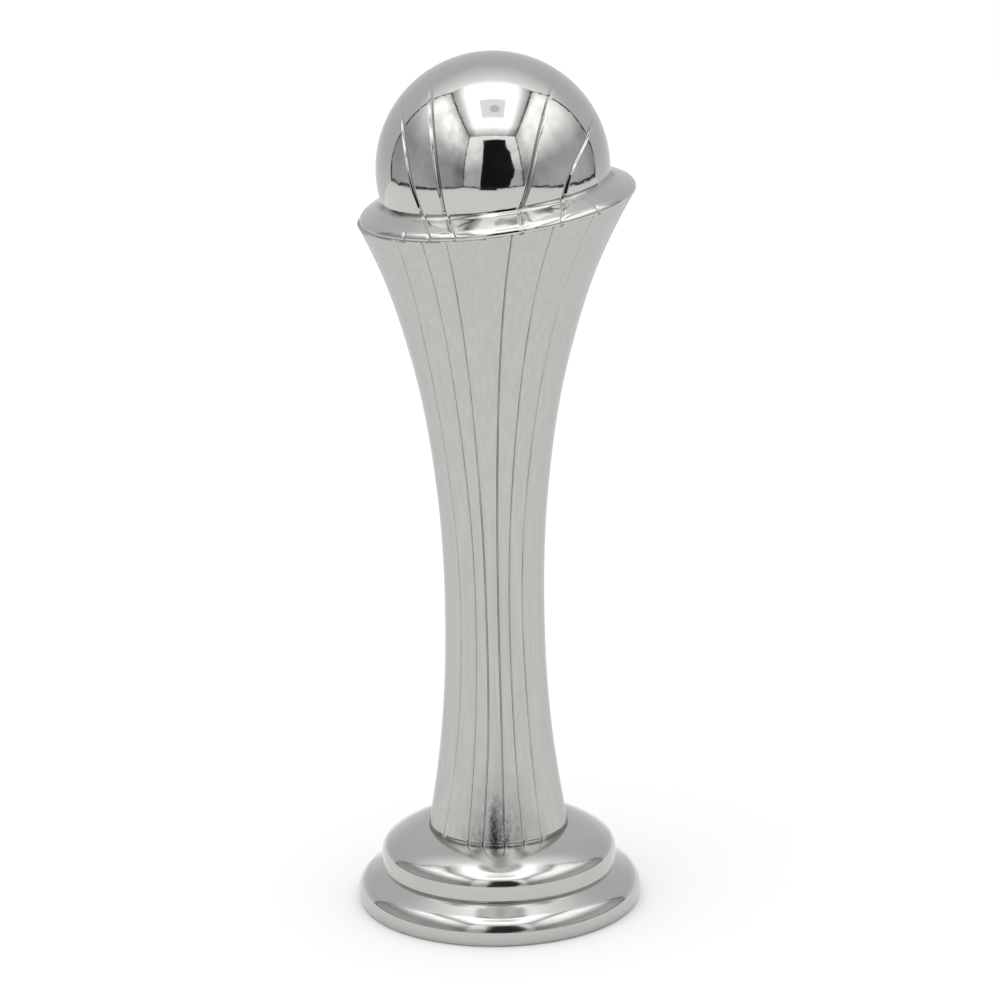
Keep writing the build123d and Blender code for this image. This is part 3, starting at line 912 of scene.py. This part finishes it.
def make_column():
    """The engraved column with its slanted mouth."""
    rings = smooth_height(column_outline(), COLUMN_STEPS)
    lines = line_azimuths(rings[0][0])
    ends = lines[1:] + [lines[0] + 2 * pi]
    fills = [max(LEAST_LANES, round(degrees(last - first) / LANE_SPACING))
             for first, last in zip(lines, ends)]
    first_lanes = column_lanes(*rings[0], fills)
    bm = bmesh.new()
    lane_layer = bm.verts.layers.int.new("lane")
    cut_layer = bm.verts.layers.float.new("cut")
    circle = bmesh.ops.create_circle(bm, cap_ends=False, segments=len(first_lanes), radius=1.0)
    for index, vert in enumerate(sorted(circle["verts"], key=lambda v: atan2(v.co.x, -v.co.y))):
        vert[lane_layer] = index
    ring = list(bm.verts)
    edges = list(bm.edges)
    set_ring(ring, (lane_layer, cut_layer), *rings[0], first_lanes)
    for height, radius in rings[1:]:
        grown = bmesh.ops.extrude_edge_only(bm, edges=edges)["geom"]
        ring = [item for item in grown if isinstance(item, bmesh.types.BMVert)]
        edges = [item for item in grown if isinstance(item, bmesh.types.BMEdge)]
        edges = [edge for edge in edges if all(vert in ring for vert in edge.verts)]
        set_ring(ring, (lane_layer, cut_layer), height, radius, column_lanes(height, radius, fills))
    plane_point = HEAD @ Vector((0, 0, -JOINT_DROP))
    plane_normal = (HEAD.to_3x3() @ Vector((0, 0, 1))).normalized()
    bmesh.ops.bisect_plane(bm, geom=bm.verts[:] + bm.edges[:] + bm.faces[:], dist=0.0001,
                           plane_co=plane_point, plane_no=plane_normal, clear_outer=True)
    bm.normal_update()
    outwards = sum(1 if one.normal.dot(one.calc_center_median().to_2d().to_3d()) > 0 else -1
                   for one in bm.faces)
    if outwards < 0:
        bmesh.ops.reverse_faces(bm, faces=bm.faces)
    print("column faces that looked inwards were turned:", outwards < 0)
    piece = finish_piece(bm, "engraved_column", BRUSHED, "column_shell")
    shell = piece.modifiers.new("wall", "SOLIDIFY")
    shell.thickness = WALL * MM
    shell.offset = -1.0
    return piece


make_column()

# %% [markdown]
# ## The ball
#
# Four grooves run over the ball from front to back. A half circle of lanes is spun about the
# ball's side-to-side axis, so that the lanes already run the way the grooves do, and then
# each lane is eased sideways on to its groove. A plane cuts the ball off at the ledge.

# %% Groove lanes
GROOVE_WIDTH = 0.62
GROOVE_DEPTH = 0.24
# how much painted shade lies in the ball's grooves
GROOVE_PAINTED_SHADE = 0.35
GROOVE_TURNS = (-30, -14, 0, 32, 90)
GROOVE_SHARES = (
    (-0.560, -0.610, -0.670, -0.735, -0.748),
    (-0.380, -0.410, -0.442, -0.498, -0.510),
    (0.130, 0.195, 0.270, 0.400, 0.600),
    (0.530, 0.560, 0.606, 0.775, 0.880),
)
GROOVE_FADE = (28, 66)
GROOVE_LEFT = 0.10
BALL_STEPS = 300
WIDE_FILLS = 12
NARROW_FILLS = 8
POLE_CLEAR = 1.35


def groove_places(turn):
    """The four grooves' places from pole to pole, as angles, at a turn up from the front."""
    folded = min(turn, 180 - turn)
    return [asin(smooth_value(list(zip(GROOVE_TURNS, shares)), folded)) for shares in GROOVE_SHARES]


def groove_strength(turn):
    """How deep the grooves are at a turn: the polishing has worn them shallow on the top."""
    folded = min(turn, 180 - turn)
    share = min(max((folded - GROOVE_FADE[0]) / (GROOVE_FADE[1] - GROOVE_FADE[0]), 0.0), 1.0)
    return 1.0 - (1.0 - GROOVE_LEFT) * share * share * (3 - 2 * share)


def ball_lanes(turn):
    """Every lane's angle from the middle plane, and its depth share, at a turn."""
    grooves = groove_places(turn)
    strength = groove_strength(turn)
    reach = GROOVE_WIDTH / 2 / BALL_RADIUS
    first, last = -pi / 2, pi / 2
    lanes = [(first, 0.0)]
    start = [first] + grooves
    end = grooves + [last]
    for index, (low, high) in enumerate(zip(start, end)):
        fills = WIDE_FILLS if index in (0, 2, 4) else NARROW_FILLS
        stretch = lanes_between(low, high, reach, fills)
        lanes += stretch[1:] if index == 0 else stretch
    lanes.append((last, 0.0))
    return [(angle, 0.0 if abs(angle) > POLE_CLEAR else depth * strength) for angle, depth in lanes]


print("lanes from pole to pole:", len(ball_lanes(0.0)))

# %% Ball
def make_ball():
    """The grooved ball, closed underneath where it sits on the ledge."""
    bm = bmesh.new()
    lane_layer = bm.verts.layers.int.new("lane")
    cut_layer = bm.verts.layers.float.new("cut")
    verts = []
    for index, (angle, depth) in enumerate(ball_lanes(0.0)):
        vert = bm.verts.new((BALL_RADIUS * sin(angle), -BALL_RADIUS * cos(angle), 0.0))
        vert[lane_layer] = index
        verts.append(vert)
    edges = [bm.edges.new(pair) for pair in zip(verts, verts[1:])]
    bmesh.ops.spin(bm, geom=verts + edges, cent=(0, 0, 0), axis=(1, 0, 0), angle=-2 * pi,
                   steps=BALL_STEPS, use_merge=True, use_duplicate=False)
    turns = {}
    for vert in bm.verts:
        if hypot(vert.co.y, vert.co.z) < 1e-4:
            continue
        turn = degrees(atan2(vert.co.z, -vert.co.y))
        turn = turn + 360 if turn < -90 else turn
        key = round(turn, 2)
        if key not in turns:
            turns[key] = ball_lanes(turn)
        angle, depth = turns[key][vert[lane_layer]]
        # painted shade in the grooves
        vert[cut_layer] = GROOVE_PAINTED_SHADE * depth
        reach = BALL_RADIUS - depth * GROOVE_DEPTH
        spin_angle = radians(turn)
        out = reach * cos(angle)
        vert.co = (reach * sin(angle), -out * cos(spin_angle), out * sin(spin_angle))
    bmesh.ops.remove_doubles(bm, verts=bm.verts, dist=0.0005)
    bmesh.ops.transform(bm, matrix=Matrix.Rotation(LEAN, 4, "Y"), verts=bm.verts)
    cut = bmesh.ops.bisect_plane(bm, geom=bm.verts[:] + bm.edges[:] + bm.faces[:], dist=0.0001,
                                 plane_co=(0, 0, -SEAT_DROP), plane_no=(0, 0, -1), clear_outer=True)
    rim = [item for item in cut["geom_cut"] if isinstance(item, bmesh.types.BMEdge)]
    bmesh.ops.edgeloop_fill(bm, edges=rim)
    bmesh.ops.transform(bm, matrix=HEAD, verts=bm.verts)
    return finish_piece(bm, "grooved_ball", POLISHED, "ball_shell")


make_ball()

# %% [markdown]
# ## The collar
#
# A slanted ring: a ledge that falls outwards from the ball, a small rounded lip, and a short
# spigot that enters the column. It is spun like the base, but with more steps, because its
# nicks are narrow. A soft bend in its section fills the corner under the ball.

# %% Collar section
COLLAR_STEPS = 900
NOTCH_HALF_WIDTH = 0.24
NOTCH_DEPTH = 0.15
FILLET_TOP = 0.55
FILLET_FOOT = 0.6
UNEVEN = 0.016
# how much painted shade lies in the corner under the ball
FILLET_PAINTED_SHADE = 0.7
SPIGOT_RADIUS = 11.9
SPIGOT_BORE = 10.4
SPIGOT_DEPTH = 2.0
REGISTER_RADIUS = 11.4
REGISTER_HEIGHT = 1.5
LEDGE_STEPS = 10
UNDER_THE_BALL = 0.35
SUNK = 0.02


def bend(start, corner, end, steps):
    """A soft bend from start to end that leans into a corner."""
    points = []
    for step in range(steps + 1):
        t = step / steps
        points.append(tuple((1 - t)**2 * a + 2 * t * (1 - t) * b + t * t * c
                            for a, b, c in zip(start, corner, end)))
    return points


def collar_outline():
    """The collar's section, measured from the ball's centre along the leaning axis."""
    top = FILLET_TOP - SEAT_DROP
    start = (sqrt(BALL_RADIUS**2 - top**2) - SUNK, top)
    foot = (SEAT_RADIUS + FILLET_FOOT * cos(LEDGE_SLOPE), -SEAT_DROP - FILLET_FOOT * sin(LEDGE_SLOPE))
    outline = bend(start, (SEAT_RADIUS, -SEAT_DROP), foot, LEDGE_STEPS)
    for step in range(1, LEDGE_STEPS + 1):
        share = step / LEDGE_STEPS
        outline.append((foot[0] + (SHOULDER_TOP[0] - foot[0]) * share,
                        foot[1] + (SHOULDER_TOP[1] - foot[1]) * share))
    outline += tangent_arc(SHOULDER_TOP, (cos(LEDGE_SLOPE), -sin(LEDGE_SLOPE)), SHOULDER_END, 12)[1:]
    outline += ellipse_arc((LIP_RADIUS, -LIP_DROP), (LIP_ROUND, LIP_ROUND),
                           90 - degrees(SHOULDER_SLOPE), -degrees(asin(NOSE_SHARE)), 12)[1:]
    spigot_end = -JOINT_DROP - SPIGOT_DEPTH
    register_top = REGISTER_HEIGHT - SEAT_DROP
    outline += [(LIP_RADIUS, -JOINT_DROP), (SPIGOT_RADIUS, -JOINT_DROP), (SPIGOT_RADIUS, spigot_end),
                (SPIGOT_BORE, spigot_end), (SPIGOT_BORE, register_top), (REGISTER_RADIUS, register_top),
                (REGISTER_RADIUS, top)]
    return outline


print("collar section points:", len(collar_outline()))

# %% [markdown]
# ### Nicks and uneven finishing
#
# The graver that cut the grooves slipped on over the ledge and lip. Each nick is a line across
# the ring, and a point is pressed in by how near the line it is. A little noise over all of
# it keeps the ring from looking machined, and the corner under the ball gets painted shade.

# %% Nicks
def notch_press(vert, crossings):
    """How deep the nicks press a point of the ledge or lip."""
    radius = hypot(vert.co.x, vert.co.y)
    azimuth = atan2(vert.co.x, -vert.co.y)
    press = 0.0
    for start, end, inner in crossings:
        share = min(max((radius - SEAT_RADIUS) / (LIP_REACH - SEAT_RADIUS), 0.0), 1.0)
        if radius < inner:
            continue
        line = start + (end - start) * share
        away = abs((azimuth - line + pi) % (2 * pi) - pi) * radius / NOTCH_HALF_WIDTH
        press = max(press, cut_depth(away))
    return press * NOTCH_DEPTH + UNEVEN * (1.0 + noise.noise(vert.co * 0.9))


def fillet_painted_shade(vert):
    """How much painted shade lies in the corner between ball and ledge, where shade falls."""
    away = abs(hypot(vert.co.x, vert.co.y) - SEAT_RADIUS) / FILLET_FOOT
    patches = 0.6 + 1.2 * noise.noise(vert.co * 0.35)
    return FILLET_PAINTED_SHADE * max(1.0 - away, 0.0) * min(max(patches, 0.0), 1.0)


def ledge_crossings():
    """Where each groove meets the ledge and where it leaves the lip, front and back."""
    mouth_lines = [radians(azimuths[-1]) for azimuths in LINE_AZIMUTHS]
    crossings = []
    for shares, azimuth in zip(GROOVE_SHARES, mouth_lines[1:5]):
        side = shares[1] * BALL_RADIUS
        start = asin(min(max((side * cos(LEAN)) / SEAT_RADIUS, -1.0), 1.0))
        crossings.append((start, azimuth, 0.0))
        crossings.append((pi - start, pi - azimuth, 0.0))
    for azimuth in (mouth_lines[0], mouth_lines[5]):
        crossings.append((azimuth, azimuth, LIP_RADIUS))
        crossings.append((pi - azimuth, pi - azimuth, LIP_RADIUS))
    return crossings


print("nicks over the ledge or lip:", len(ledge_crossings()))

# %% Collar
def make_collar(crossings):
    """The slanted collar with its nicks."""
    bm = spin_outline(collar_outline(), COLLAR_STEPS)
    cut_layer = bm.verts.layers.float.new("cut")
    bm.normal_update()
    moves = []
    for vert in bm.verts:
        # painted shade in the corner under the ball
        vert[cut_layer] = fillet_painted_shade(vert)
        if hypot(vert.co.x, vert.co.y) > SEAT_RADIUS - UNDER_THE_BALL:
            moves.append((vert, vert.normal * notch_press(vert, crossings)))
    for vert, move in moves:
        vert.co -= move
    bmesh.ops.transform(bm, matrix=HEAD, verts=bm.verts)
    return finish_piece(bm, "slanted_collar", POLISHED, "collar_ring")


make_collar(ledge_crossings())

# %% [markdown]
# ## The felt
#
# A disc of pressed felt is glued under the base, so the trophy slides without scratching.

# %% Felt
FELT_RINGS = 24
FELT_STEPS = 120


def felt_material():
    """Black pressed felt: matted fibres, with a soft sheen."""
    material, nodes, links, output = new_material("black felt")
    shader = nodes.new("ShaderNodeBsdfPrincipled")
    fibres = object_noise(nodes, links, (1, 1, 1), 5000.0, 6.0, 0.7)
    shade = ramp(nodes, links, fibres, [(0.3, 0.008), (0.7, 0.05)])
    links.new(shade, shader.inputs["Base Color"])
    shader.inputs["Roughness"].default_value = 0.95
    shader.inputs["Sheen Weight"].default_value = 0.4
    shader.inputs["Sheen Roughness"].default_value = 0.5
    links.new(bump(nodes, links, fibres, 0.00012), shader.inputs["Normal"])
    links.new(shader.outputs["BSDF"], output.inputs["Surface"])
    return material


def make_felt():
    """The felt pad, with a slightly soft edge and a matted underside."""
    radius = (felt_high.x - felt_low.x) / 2
    thick = felt_high.z - felt_low.z
    outline = [(radius * step / FELT_RINGS, 0.0) for step in range(FELT_RINGS)]
    outline += [(radius - 0.15, 0.0), (radius - 0.03, 0.05), (radius, 0.2), (radius, thick), (0.0, thick)]
    bm = spin_outline(outline, FELT_STEPS)
    for vert in bm.verts:
        if vert.co.z < 0.5 * thick:
            vert.co.z += 0.02 + 0.02 * noise.noise(vert.co * 2.5)
    piece = finish_piece(bm, "felt_disc", felt_material(), "felt_pad")
    return piece


make_felt()

# %% [markdown]
# ## Hidden fittings
#
# The rod, nut, washers, weight, insert and pins are inside and stay the CAD's own solids.
# Each gets the finish that such stock has, for whoever takes the trophy apart.

# %% Finishes of the hidden pieces
def stock_finish(name, colour, metallic, roughness, grain):
    """A plain stock metal with grain in its roughness."""
    material, nodes, links, output = new_material(name)
    shader = nodes.new("ShaderNodeBsdfPrincipled")
    shader.inputs["Base Color"].default_value = colour + (1.0,)
    shader.inputs["Metallic"].default_value = metallic
    grit = object_noise(nodes, links, (1, 1, 1), grain, 4.0)
    links.new(spread(nodes, links, grit, roughness * 0.7, roughness * 1.3), shader.inputs["Roughness"])
    links.new(bump(nodes, links, grit, 0.00002), shader.inputs["Normal"])
    links.new(shader.outputs["BSDF"], output.inputs["Surface"])
    return material


HIDDEN = {
    stock_finish("zinc plate", (0.70, 0.71, 0.72), 1.0, 0.30, 900.0):
        ("tie_rod", "clamp_washer", "clamp_nut"),
    stock_finish("blued spring steel", (0.10, 0.10, 0.12), 1.0, 0.35, 900.0): ("spring_washer",),
    stock_finish("cast iron", (0.05, 0.05, 0.052), 0.6, 0.65, 1500.0): ("base_weight",),
    stock_finish("turned brass", (0.80, 0.58, 0.25), 1.0, 0.25, 900.0): ("ball_thread_insert",),
    stock_finish("ground pin steel", (0.60, 0.60, 0.60), 1.0, 0.20, 900.0):
        ("ball_register_pin", "collar_register_pin"),
}
for finish, nodes_with_it in HIDDEN.items():
    for node in nodes_with_it:
        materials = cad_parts[node].data.materials
        materials.clear()
        materials.append(finish)
    print(finish.name, "on", ", ".join(nodes_with_it))
